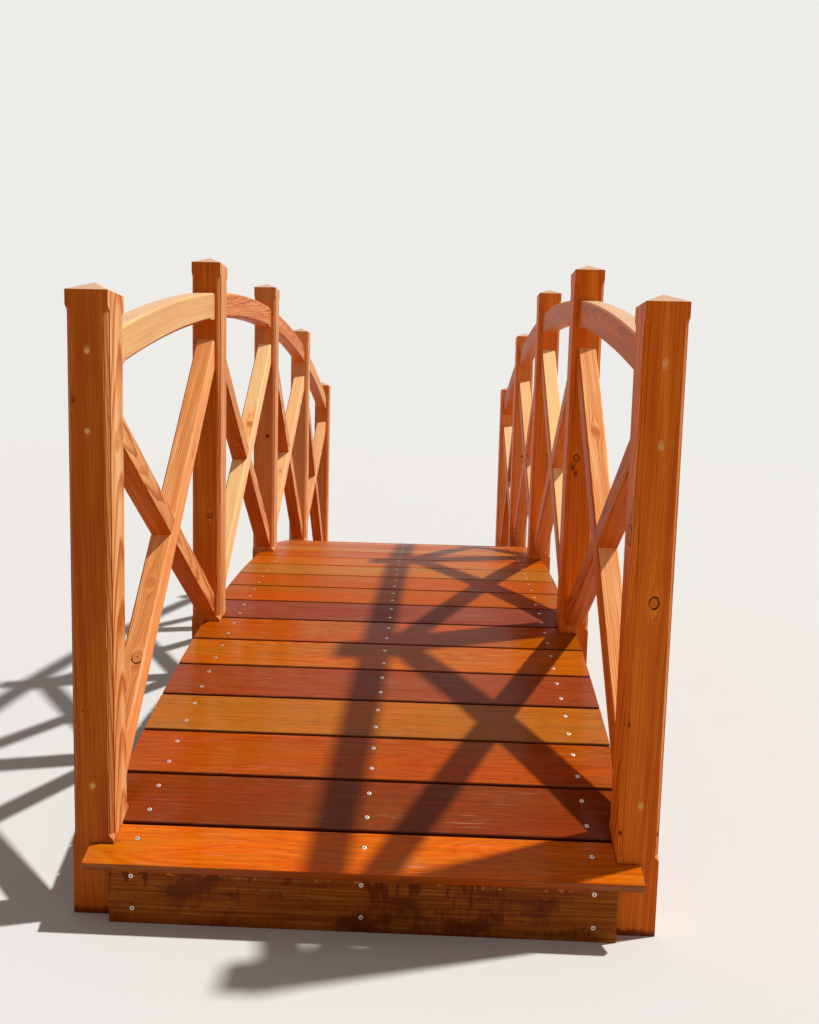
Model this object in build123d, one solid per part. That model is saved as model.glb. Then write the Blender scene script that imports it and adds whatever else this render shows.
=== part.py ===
from build123d import *
import math
import os

# Arched timber footbridge, in millimetres.
# X runs across the walkway, Y along it and Z up. The origin is on the ground under the crest.
# The near end is at minus Y, and the left side is at minus X. Both halves mirror each other.

# Layout
post_row_spacing = 1190.0
bay_length = 890.0
bay_count = 4

# Deck arch: height of the walking surface at the crest, and its radius
deck_crest = 550.0
deck_radius = 4530.0

# Rail arch: height of the handrail's top at the crest, and its radius
rail_crest = 1578.0
rail_radius = 5300.0

# Posts
post_width = 90.0
post_above_rail = 86.0
post_point = 21.0
post_head = 31.0
post_tail = 15.0

# The moulding worked on the posts' upright corners: a flat between two small square steps,
# dying out into the corner in a tongue at both ends
moulding_width = 10.5
moulding_step = 2.2
moulding_tread = 2.0
moulding_runout = 17.0
moulding_above_deck = 5.0

# How full the curve of a tongue is: 0 pulls it to the post's corner, 1 to the bottom of the moulding
tongue_fullness = 0.6

# Handrails
rail_thickness = 56.0
rail_depth = 80.0
rail_top_chamfer = 5.0
rail_low_chamfer = 7.0
rail_chamfer_stop = 36.0
rail_stop_slope = 22.0

# Cross braces. The foot and the head place the middle of a brace's ends on the post faces:
# up from the deck, and down from the underside of the handrail.
brace_thickness = 56.0
brace_depth = 60.0
brace_chamfer = 4.0
brace_foot = 59.0
brace_head = 110.0

# Deck boards
board_post_cover = 50.0
board_width = 145.0
board_thickness = 21.0
board_gap = 7.0
board_edge_chamfer = 2.0
boards_per_bay = 6
nosing_width = 107.0
notch_side_gap = 1.5
notch_end_gap = 5.0

# Stringers and end boards
stringer_count = 3
stringer_thickness = 90.0
stringer_depth = 145.0
stringer_overrun = 8.0
fascia_thickness = 21.0

# Sizes that follow from the ones above
row_offset = post_row_spacing / 2
clear_width = post_row_spacing - post_width
board_length = clear_width + 2 * board_post_cover
board_pitch = board_width + board_gap
half_span = bay_length * bay_count / 2
stringer_end = half_span + post_width / 2 + stringer_overrun
crest_post = bay_count // 2 + 1
deck_centre = deck_crest - deck_radius
rail_centre = rail_crest - rail_radius
stringer_top_radius = deck_radius - board_thickness
stringer_low_radius = stringer_top_radius - stringer_depth
side_names = {-1: "left", 1: "right"}

# Room around a piece that a cutting solid reaches past it
cutter_margin = 50.0

# An edge whose direction has more than this share along Y runs along the bridge
lengthwise_share = 0.1


def arch_height(centre, radius, y):
    """Height of an arch over the point y."""
    return centre + math.sqrt(radius ** 2 - y ** 2)


def deck_height(y):
    return arch_height(deck_centre, deck_radius, y)


def rail_underside(y):
    return arch_height(rail_centre, rail_radius - rail_depth, y)


def post_y(number):
    """Posts are numbered from 1 at the near end."""
    return (number - crest_post) * bay_length


def post_top(number):
    """Height of the square head's rim, below the pointed top."""
    return arch_height(rail_centre, rail_radius, post_y(number)) + post_above_rail


def post_bottom(number):
    """End posts stand on the ground, the others end just below the stringers."""
    if number in (1, bay_count + 1):
        return 0.0
    return arch_height(deck_centre, stringer_low_radius, post_y(number)) - post_tail


def gable_face(width, bottom, top, point):
    """Upright outline with a pointed top, centred on its own plane."""
    outline = Polyline(
        (-width / 2, bottom),
        (width / 2, bottom),
        (width / 2, top),
        (0, top + point),
        (-width / 2, top),
        close=True,
    )
    return make_face(outline)


def tongue_prism(corner_x, corner_y, out_x, out_y, low, high):
    """Room around one upright corner that gets shallower towards low and high in a curve."""
    depth = moulding_width
    reach = 2 * moulding_width
    run = moulding_runout
    belly = tongue_fullness * depth
    outline = Polyline(
        (-depth, low + run),
        (-depth, high - run),
    ) + Bezier(
        (-depth, high - run),
        (-belly, high - run / 2),
        (0, high),
    ) + Polyline(
        (0, high),
        (reach, high),
        (reach, low),
        (0, low),
    ) + Bezier(
        (0, low),
        (-belly, low + run / 2),
        (-depth, low + run),
    )
    plane = Plane(
        origin=(corner_x, corner_y, 0),
        x_dir=(out_x, out_y, 0),
        z_dir=(out_y, -out_x, 0),
    )
    return extrude(plane * make_face(outline), amount=2 * moulding_width, both=True)


def moulding_cutter(corner_x, corner_y, out_x, out_y, low, high):
    """What the moulding takes off one upright corner of a post, out_x and out_y pointing away from it."""
    inner_step = moulding_width - moulding_tread
    profile = [
        (0, 0),
        (moulding_width, 0),
        (moulding_width, moulding_step),
        (inner_step, moulding_step),
        (moulding_step, inner_step),
        (moulding_step, moulding_width),
        (0, moulding_width),
    ]
    points = [(corner_x - out_x * across, corner_y - out_y * along) for across, along in profile]
    section = make_face(Polyline(*points, close=True))
    prism = extrude(Pos(0, 0, low) * section, amount=high - low, dir=(0, 0, 1))
    return prism & tongue_prism(corner_x, corner_y, out_x, out_y, low, high)


def make_post(side, number):
    """Square post with a pointed top and a stopped moulding on each corner between head and deck."""
    x = side * row_offset
    y = post_y(number)
    top = post_top(number)
    bottom = post_bottom(number)
    face = gable_face(post_width, bottom, top, post_point)
    across = extrude(Plane((x, y, 0), x_dir=(1, 0, 0), z_dir=(0, -1, 0)) * face, post_width / 2, both=True)
    along = extrude(Plane((x, y, 0), x_dir=(0, 1, 0), z_dir=(1, 0, 0)) * face, post_width / 2, both=True)
    post = across & along
    half = post_width / 2
    high = top - post_head
    for out_x in (-1, 1):
        for out_y in (-1, 1):
            low = deck_height(y + out_y * half) + moulding_above_deck
            post -= moulding_cutter(x + out_x * half, y + out_y * half, out_x, out_y, low, high)
    return post


def slice_between(start, end):
    """Block that keeps only what lies between two upright planes across the bridge."""
    height = 2 * rail_crest
    width = 2 * post_row_spacing
    return Pos(0, (start + end) / 2, 0) * Box(width, end - start, 2 * height)


def arch_solid(section, centre, start, end):
    """Turn an upright section at the crest about the arch's centre, over start to end."""
    axis = Axis((0, 0, centre), (1, 0, 0))
    radius = section.bounding_box().max.Z - centre
    first = math.degrees(math.asin(start / radius))
    last = math.degrees(math.asin(end / radius))
    return revolve(section.rotate(axis, -first), axis, -(last - first))


def upright_section(x, low, high, width, low_cut, high_cut):
    """Rectangular section at the crest, with its corners cut off, centred on x."""
    half = width / 2
    points = [
        (-half + low_cut, low),
        (half - low_cut, low),
        (half, low + low_cut),
        (half, high - high_cut),
        (half - high_cut, high),
        (-half + high_cut, high),
        (-half, high - high_cut),
        (-half, low + low_cut),
    ]
    face = make_face(Polyline(*dict.fromkeys(points), close=True))
    return Plane((x, 0, 0), x_dir=(1, 0, 0), z_dir=(0, -1, 0)) * face


def bay_faces(bay):
    """Post faces at the near and far end of a bay."""
    start = post_y(bay) + post_width / 2
    end = post_y(bay + 1) - post_width / 2
    return start, end


def square_end_block(face_y, inward):
    """Block around the end of a handrail that stays square. inward is 1 or -1 along the bay."""
    stop_y = face_y + inward * rail_chamfer_stop
    tilt = math.asin(stop_y / (rail_radius - rail_depth))
    stop_z = rail_underside(stop_y)
    along = (inward * math.cos(tilt), -inward * math.sin(tilt))
    up = (math.sin(tilt), math.cos(tilt))

    def place(run, rise):
        return stop_y + run * along[0] + rise * up[0], stop_z + run * along[1] + rise * up[1]

    outline = Polyline(
        place(-rail_stop_slope / 2, -rail_low_chamfer / 2),
        place(rail_stop_slope * 3 / 2, rail_low_chamfer * 3 / 2),
        place(rail_stop_slope * 3 / 2, 2 * rail_depth),
        place(-2 * rail_depth, 2 * rail_depth),
        place(-2 * rail_depth, -rail_low_chamfer / 2),
        close=True,
    )
    plane = Plane((0, 0, 0), x_dir=(0, 1, 0), z_dir=(1, 0, 0))
    return extrude(plane * make_face(outline), post_row_spacing, both=True)


def make_handrail(side, bay):
    """Curved rail between two posts. Its lower corners are chamfered short of the posts."""
    x = side * row_offset
    start, end = bay_faces(bay)
    low = rail_crest - rail_depth
    square = upright_section(x, low, rail_crest, rail_thickness, 0, rail_top_chamfer)
    eased = upright_section(x, low, rail_crest, rail_thickness, rail_low_chamfer, rail_top_chamfer)
    reach = rail_depth
    bay_slice = slice_between(start, end)
    square_rail = arch_solid(square, rail_centre, start - reach, end + reach) & bay_slice
    rail = arch_solid(eased, rail_centre, start - reach, end + reach) & bay_slice
    rail += square_rail & square_end_block(start, 1)
    rail += square_rail & square_end_block(end, -1)
    return rail


def brace_outline(start, start_height, end, end_height, extra=0.0):
    """Side view of a brace between two post faces, with upright ends."""
    angle = math.atan2(end_height - start_height, end - start)
    rise = (brace_depth / 2) / math.cos(angle)
    slope = math.tan(angle)
    first = start - extra
    last = end + extra
    low = start_height - extra * slope
    high = end_height + extra * slope
    outline = Polyline(
        (first, low - rise),
        (last, high - rise),
        (last, high + rise),
        (first, low + rise),
        close=True,
    )
    return make_face(outline)


def brace_bar(side, outline):
    """Brace of full thickness from its side view."""
    plane = Plane((side * row_offset, 0, 0), x_dir=(0, 1, 0), z_dir=(1, 0, 0))
    return extrude(plane * outline, brace_thickness / 2, both=True)


def brace_half(side, outline, layer):
    """The half of a brace's thickness on the walkway side (1) or the outer side (-1)."""
    shift = side * (row_offset - layer * brace_thickness / 4)
    plane = Plane((shift, 0, 0), x_dir=(0, 1, 0), z_dir=(1, 0, 0))
    return extrude(plane * outline, brace_thickness / 4, both=True)


def eased_bar(bar):
    """Cut the four long edges of a brace, the only ones that run along the bridge."""
    edges = bar.edges().filter_by(lambda edge: abs(edge.tangent_at(0).Y) > lengthwise_share)
    return chamfer(edges, brace_chamfer)


def make_braces(side, bay):
    """Two crossing braces, halved into each other where they meet."""
    start, end = bay_faces(bay)
    rising = (start, deck_height(start) + brace_foot, end, rail_underside(end) - brace_head)
    falling = (start, rail_underside(start) - brace_head, end, deck_height(end) + brace_foot)
    rising_bar = eased_bar(brace_bar(side, brace_outline(*rising)))
    falling_bar = eased_bar(brace_bar(side, brace_outline(*falling)))
    rising_brace = rising_bar - brace_half(side, brace_outline(*falling, cutter_margin), -1)
    falling_brace = falling_bar - brace_half(side, brace_outline(*rising, cutter_margin), 1)
    return rising_brace, falling_brace


def post_notches():
    """The room that the deck boards leave around every post."""
    notches = []
    for side in side_names:
        for number in range(1, bay_count + 2):
            width = post_width + 2 * notch_side_gap
            length = post_width + 2 * notch_end_gap
            place = Pos(side * row_offset, post_y(number), deck_crest / 2)
            notches.append(place * Box(width, length, 2 * deck_crest))
    return notches


def make_board(first_edge, width, end):
    """Flat board across the stringers. first_edge is its distance from the crest along the arch."""
    angle = (first_edge + width / 2) / deck_radius
    board = Box(board_length, width, board_thickness)
    top_edges = board.edges().group_by(Axis.Z)[-1].filter_by(Axis.X)
    board = chamfer(top_edges, board_edge_chamfer)
    middle = deck_radius - board_thickness / 2
    place = Pos(0, end * middle * math.sin(angle), deck_centre + middle * math.cos(angle))
    board = place * Rot(-end * math.degrees(angle), 0, 0) * board
    low_y = board.bounding_box().min.Y
    high_y = board.bounding_box().max.Y
    for notch in post_notches():
        room = notch.bounding_box()
        if room.min.Y < high_y and room.max.Y > low_y:
            board -= notch
    return board


def make_bay_boards(bay):
    """The boards of one bay, each a solid of its own."""
    end = -1 if bay <= bay_count / 2 else 1
    steps = crest_post - bay if end < 0 else bay - crest_post + 1
    first = (steps - 1) * boards_per_bay
    boards = []
    for step in range(first, first + boards_per_bay):
        boards.append(make_board(board_gap / 2 + step * board_pitch, board_width, end))
    return Compound(children=boards)


def nosing_edge():
    """Distance along the arch from the crest to the inner edge of the end board."""
    return board_gap / 2 + boards_per_bay * bay_count / 2 * board_pitch


def make_stringer(number):
    """Curved beam under the deck, cut off flat where its ends meet the ground."""
    outer = row_offset - post_width / 2 - stringer_thickness / 2
    x = -outer + 2 * outer * number / (stringer_count - 1)
    low = deck_centre + stringer_low_radius
    high = deck_centre + stringer_top_radius
    section = upright_section(x, low, high, stringer_thickness, 0, 0)
    reach = stringer_end + stringer_depth
    beam = arch_solid(section, deck_centre, -reach, reach) & slice_between(-stringer_end, stringer_end)
    ground = Pos(0, 0, -rail_crest / 2) * Box(2 * post_row_spacing, 4 * half_span, rail_crest)
    return beam - ground


def make_fascia(end):
    """Upright board over the stringer ends, bevelled to fit under the end board."""
    angle = (nosing_edge() + nosing_width / 2) / deck_radius
    seat_y = stringer_top_radius * math.sin(angle)
    seat_z = deck_centre + stringer_top_radius * math.cos(angle)
    back = stringer_end
    front = stringer_end + fascia_thickness
    back_top = seat_z - (back - seat_y) * math.tan(angle)
    front_top = seat_z - (front - seat_y) * math.tan(angle)
    outline = Polyline(
        (end * back, 0),
        (end * front, 0),
        (end * front, front_top),
        (end * back, back_top),
        close=True,
    )
    plane = Plane((0, 0, 0), x_dir=(0, 1, 0), z_dir=(1, 0, 0))
    return extrude(plane * make_face(outline), clear_width / 2, both=True)


def build_nodes():
    """Every piece of the bridge under its own name."""
    nodes = {}
    for side, side_name in side_names.items():
        for number in range(1, bay_count + 2):
            nodes[f"{side_name}_post_{number}"] = make_post(side, number)
        for bay in range(1, bay_count + 1):
            nodes[f"{side_name}_handrail_{bay}"] = make_handrail(side, bay)
            rising, falling = make_braces(side, bay)
            nodes[f"{side_name}_rising_brace_{bay}"] = rising
            nodes[f"{side_name}_falling_brace_{bay}"] = falling
    for bay in range(1, bay_count + 1):
        nodes[f"deck_boards_{bay}"] = make_bay_boards(bay)
    for number, name in enumerate(("left_stringer", "middle_stringer", "right_stringer")):
        nodes[name] = make_stringer(number)
    for end, end_name in ((-1, "near"), (1, "far")):
        nodes[f"{end_name}_nosing"] = make_board(nosing_edge(), nosing_width, end)
        nodes[f"{end_name}_fascia"] = make_fascia(end)
    return nodes


os.makedirs("parts", exist_ok=True)
for node_name, solid in build_nodes().items():
    export_step(solid, f"parts/{node_name}.step")
    box = solid.bounding_box()
    print(node_name, "solids", len(solid.solids()), "volume", round(solid.volume), box.min, box.max)
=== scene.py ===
import math
import random
from functools import partial

import bpy
from mathutils import Matrix, Vector


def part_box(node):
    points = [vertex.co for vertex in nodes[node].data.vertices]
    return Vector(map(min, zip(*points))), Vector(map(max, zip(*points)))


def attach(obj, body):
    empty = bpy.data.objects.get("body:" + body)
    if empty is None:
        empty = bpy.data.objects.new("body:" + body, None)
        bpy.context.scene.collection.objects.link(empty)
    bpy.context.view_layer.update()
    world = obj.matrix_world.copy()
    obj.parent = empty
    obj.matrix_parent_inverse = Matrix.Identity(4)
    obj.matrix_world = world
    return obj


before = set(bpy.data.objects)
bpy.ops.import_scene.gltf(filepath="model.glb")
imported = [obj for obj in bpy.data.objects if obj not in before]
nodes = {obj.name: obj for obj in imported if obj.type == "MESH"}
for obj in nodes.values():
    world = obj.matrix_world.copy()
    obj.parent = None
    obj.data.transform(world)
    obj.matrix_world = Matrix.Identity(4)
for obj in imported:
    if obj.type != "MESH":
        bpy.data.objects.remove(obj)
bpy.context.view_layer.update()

# Arched timber footbridge. X across the walkway, Y along it away from the camera, Z up, in metres.
mm = 0.001
scene = bpy.context.scene
print("frame loaded:", len(nodes), "nodes")

bridge = {
    "deckRadius": 4530 * mm,      # walking surface of the arch
    "deckCrest": 550 * mm,
    "railRadius": 5300 * mm,      # top of the handrails
    "railCrest": 1578 * mm,
    "boardPitch": 152 * mm,       # the boards stand 7 mm apart
    "boardsPerBay": 6,
    "bays": 4,
    "nosingStart": 1827.5 * mm,   # back edge of the nosing, along the arch from the crest
    "rowOffset": 595 * mm,        # middle of the rows of posts
}
deckCentre = bridge["deckCrest"] - bridge["deckRadius"]
railCentre = bridge["railCrest"] - bridge["railRadius"]
sunFrom = (0.51, 0.15, 0.85)      # the lamp stands on this side; softwood faces turned to it take a paler copy of their colour, painted light and partly sun-faded stain


def colour(hexCode):
    # sRGB hex to the linear values that a shader wants
    parts = [int(hexCode[i:i + 2], 16) / 255 for i in (1, 3, 5)]
    linear = [p / 12.92 if p <= 0.04045 else ((p + 0.055) / 1.055) ** 2.4 for p in parts]
    return (*linear, 1)


def addNode(tree, kind, sockets=(), operation=None, **settings):
    # one node with its settings; a kind without Node in it is a shader one. The sockets are a list, in
    # the order in which the node shows them, or named, and each takes a plain value, a hex colour, or the
    # node or socket that feeds it
    node = tree.nodes.new(kind if "Node" in kind else "ShaderNode" + kind)
    if operation:
        node.operation = operation
    for name, value in settings.items():
        setattr(node, name, value)
    shown = [socket for socket in node.inputs if socket.enabled]
    for key, source in sockets.items() if isinstance(sockets, dict) else enumerate(sockets):
        target = shown[key] if isinstance(key, int) else next(s for s in shown if s.name == key)
        if isinstance(source, bpy.types.Node):
            source = next(s for s in source.outputs if s.enabled)
        if isinstance(source, bpy.types.NodeSocket):
            tree.links.new(source, target)
        else:
            target.default_value = colour(source) if isinstance(source, str) else source
    return node


def newObject(name, data):
    thing = bpy.data.objects.new(name, data)
    scene.collection.objects.link(thing)
    return thing


def setRamp(node, stops):
    # stops are (place, colour or grey value)
    ramp = node.color_ramp
    while len(ramp.elements) < len(stops):
        ramp.elements.new(0.5)
    while len(ramp.elements) > len(stops):
        ramp.elements.remove(ramp.elements[-1])
    for element, (place, value) in zip(ramp.elements, stops):
        element.position = place
        element.color = colour(value) if isinstance(value, str) else (value, value, value, 1)
    return node


def newMaterial(name):
    # a material, and addNode for its tree
    material = bpy.data.materials.new(name)
    material.use_nodes = True
    material.node_tree.nodes.clear()
    return material, partial(addNode, material.node_tree)


def stretchedNoise(add, place, perMetre, detail, **sockets):
    # noise with its own number of waves in a metre along each axis, few on the one it is drawn out along
    scaled = add("VectorMath", [place, perMetre], "MULTIPLY")
    return add("TexNoise", {"Vector": scaled, "Scale": 1.0, "Detail": detail, **sockets})


def squashedLength(add, offset, squash):
    # a distance that counts less along some axes, so that equal ones lie on an oval
    squashed = add("VectorMath", [offset, squash], "MULTIPLY")
    return add("VectorMath", [squashed], "LENGTH")


def archPlace(add, radius, centreHeight):
    # X, height above the arc and length along it, as a vector: grain follows a bowed piece
    axes = add("SeparateXYZ", [add("TexCoord").outputs["Object"]]).outputs
    height = add("Math", [axes["Z"], centreHeight], "SUBTRACT")
    angle = add("Math", [axes["Y"], height], "ARCTAN2")
    along = add("Math", [angle, radius], "MULTIPLY")
    flat = add("CombineXYZ", [axes["Y"], height])
    reach = add("VectorMath", [flat], "LENGTH")
    above = add("Math", [reach, radius], "SUBTRACT")
    return add("CombineXYZ", [axes["X"], above, along])


def straightPlace(add, centre, slope):
    # turned about X so that the grain of a straight piece runs along Z, centred on the piece
    turn = math.pi / 2 - slope
    return add("Mapping", {
        "Vector": add("TexCoord").outputs["Object"], "Rotation": (turn, 0, 0),
        "Location": -(Matrix.Rotation(turn, 4, "X") @ centre)})


# Larch or Douglas fir: growth rings round a pith outside the piece, so that one face shows straight
# stripes and the next one cathedral arches, with round knots that the grain flows about
larch = {
    "ringWidth": 4.2 * mm,
    "ringTaper": 0.03,            # how fast a trunk's rings lean out along the piece
    "knotSpacing": 170 * mm,
    "knotRadius": 10 * mm,
    "smallestKnot": 2.5 * mm,
    "deadKnots": (5.5 * mm, 9 * mm),      # dead up to the first radius, live from the second on
    "knotReach": 5,               # the grain bends this many radii away from a knot
    "knotSquash": (1, 0.4, 1),    # and further along the piece than across
    "knotOval": (1, 0.82, 1),
    "knotWobble": 7 * mm,
    "knotEdge": 3 * mm,
    "knotRings": 4.5 * mm,
    "knotEye": (3.5 * mm, 6 * mm),        # the pith of the branch, dark, and where it has faded out
    "rimPlace": 2 * mm,           # of its middle, outside the knot
    "rimFade": (0.9 * mm, 2.3 * mm),
    "fibreWidth": 3 * mm,         # real fibres are under 1 mm, drawn wider so that they show
    "streakWidth": 24 * mm,
    "waves": (14, 14, 3),         # in a metre, across and along the grain
    "patches": (17, 17, 3),
    "grainDepth": 0.7 * mm,
    # how far the faces turned to the lamp take the painted-lit copy, partly sun fading
    "litFadeCap": 0.92,
    "pithSide": (50, 170),        # millimetres, as in sawnFrom, for the pieces that aren't in it
    "pithUp": (-80, 80),
    "ringWander": 8,
    "chanceTint": (0.92, 1.04),
    "pale": "#EC8528",
    "middle": "#D8680E",
    "dark": "#A44206",
    "red": "#B23C06",
    "fadedPale": "#F8CB92",       # the painted-lit copy for faces turned to the lamp, partly sun-bleached stain
    "fadedMiddle": "#EDA562",
    "fadedDark": "#C26830",
    "warmPale": "#FFCC92",        # the same painted-lit copy on the rising braces, where more of the stain is left
    "warmMiddle": "#FFAC66",
    "warmDark": "#E08446",
    "sapwood": "#FFD896",
    "rainAndSheenTop": "#DAB090",       # tops, paler from rain and from painted sheen
    "knotHeart": "#CC641C",
    "knotRim": "#3C1200",
    "easedEdge": 2.5 * mm,        # sharp edges were sanded off
}
# knots that stand out, up to four on a piece: the face's normal, then in millimetres the place across it
# and along the piece from its middle, and the radius, and how much dark bark is left round the knot
bigKnots = {
    "right_post_1": (
        ((0, -1, 0), 4, 48, 12, 1.0), ((0, -1, 0), -35, -216, 4, 1.0),
        ((0, -1, 0), -39, -458, 4, 1.0), ((-1, 0, 0), -8, 186, 19, 1.0)),
    "left_post_1": (
        ((0, -1, 0), -18, -227, 3.2, 1.0), ((0, -1, 0), -30, 440, 6, 1.0),
        ((1, 0, 0), 0, 345, 14, 0.1), ((1, 0, 0), 4, -50, 12, 0.1)),
    "left_post_2": (((0, -1, 0), 14, -146, 8, 1.0),),
    "right_post_2": (
        ((0, -1, 0), -17, 68, 10, 1.0), ((0, -1, 0), -28, 38, 7, 1.0),
        ((0, -1, 0), -17, 18, 6.5, 1.0)),
    "left_rising_brace_1": (
        ((0, -0.79, 0.61), 12, -364, 15, 1.0),
        ((0, -0.79, 0.61), 3, -160, 14, 0.15), ((1, 0, 0), 0, 270, 10, 0.35)),
    "left_rising_brace_2": (
        ((0, -0.73, 0.68), 12, 154, 13, 0.4), ((0, -0.73, 0.68), 18, -34, 4, 0.6)),
    "left_falling_brace_2": (((0, -0.67, -0.75), 6, -110, 15, 0.5),),
    "right_rising_brace_1": (((0, -0.79, 0.61), 0, 373, 13, 0.12),),
}
# how some pieces were sawn: the pith's place from a piece's middle and the rings' wander, in millimetres
sawnFrom = {
    "left_post_1": (-150, 15, 5),
    "right_post_1": (160, -40, 8),
    "left_handrail_1": (12, 210, 3),
    "left_handrail_2": (-85, 8, 14),
    "left_rising_brace_1": (80, 45, 12),
    "left_rising_brace_2": (-16, 90, 20),
    "left_falling_brace_1": (-75, 6, 18),
    "right_rising_brace_1": (-70, 50, 14),
}
# every piece is cut from another tree: how strong its colour is on its shaded faces and on its painted-lit
# faces, how much pale sapwood shows in either, and how far the faces turned to the lamp take the painted-lit
# copy, partly sun fading
woodTones = {
    "left_post_1": (0.84, 1.04, 0.0, 0.0, 0.92),
    "left_post_2": (0.96, 1.02, 0.0, 0.0, 0.92),
    "left_post_3": (1.05, 1.0, 0.12, 0.1, 0.85),
    "left_post_4": (1.1, 1.0, 0.25, 0.1, 0.85),
    "left_post_5": (1.05, 1.0, 0.12, 0.0, 0.8),
    "right_post_1": (1.25, 1.0, 0.0, 0.0, 0.92),
    "right_post_2": (1.25, 1.04, 0.0, 0.0, 0.92),
    "right_post_3": (1.35, 1.0, 0.03, 0.0, 0.92),
    "right_post_4": (1.35, 1.0, 0.12, 0.0, 0.92),
    "right_post_5": (1.3, 1.0, 0.18, 0.0, 0.92),
    "left_rising_brace_1": (1.0, 1.06, 0.0, 0.0, 0.92),
    "left_rising_brace_2": (1.0, 1.08, 0.05, 0.75, 0.98),
    "left_rising_brace_3": (1.0, 1.08, 0.05, 0.5, 0.98),
    "left_rising_brace_4": (1.0, 1.02, 0.0, 0.1, 0.92),
    "right_rising_brace_1": (1.1, 1.18, 0.0, 0.05, 0.95),
    "right_rising_brace_2": (1.1, 1.14, 0.1, 0.75, 1.0),
    "right_rising_brace_3": (1.1, 1.12, 0.1, 0.4, 1.0),
    "right_rising_brace_4": (1.1, 1.12, 0.1, 0.55, 1.0),
    "left_handrail_1": (1.0, 1.0, 0.0, 0.45, 0.92),
    "left_handrail_2": (1.1, 0.98, 0.0, 0.0, 0.5),
    "left_handrail_3": (1.1, 0.96, 0.0, 0.0, 0.45),
    "left_handrail_4": (1.0, 1.0, 0.05, 0.15, 0.85),
    "right_handrail_1": (1.05, 1.0, 0.03, 0.45, 0.92),
    "right_handrail_2": (1.0, 1.0, 0.08, 0.1, 0.92),
    "right_handrail_3": (1.0, 1.0, 0.08, 0.1, 0.92),
    "left_falling_brace_2": (0.85, 0.98, 0.0, 0.0, 0.92),
    "left_falling_brace_3": (0.92, 0.98, 0.0, 0.0, 0.92),
    "right_falling_brace_2": (1.15, 1.0, 0.08, 0.0, 0.92),
    "right_falling_brace_3": (1.15, 1.0, 0.1, 0.0, 0.92),
}


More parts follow.
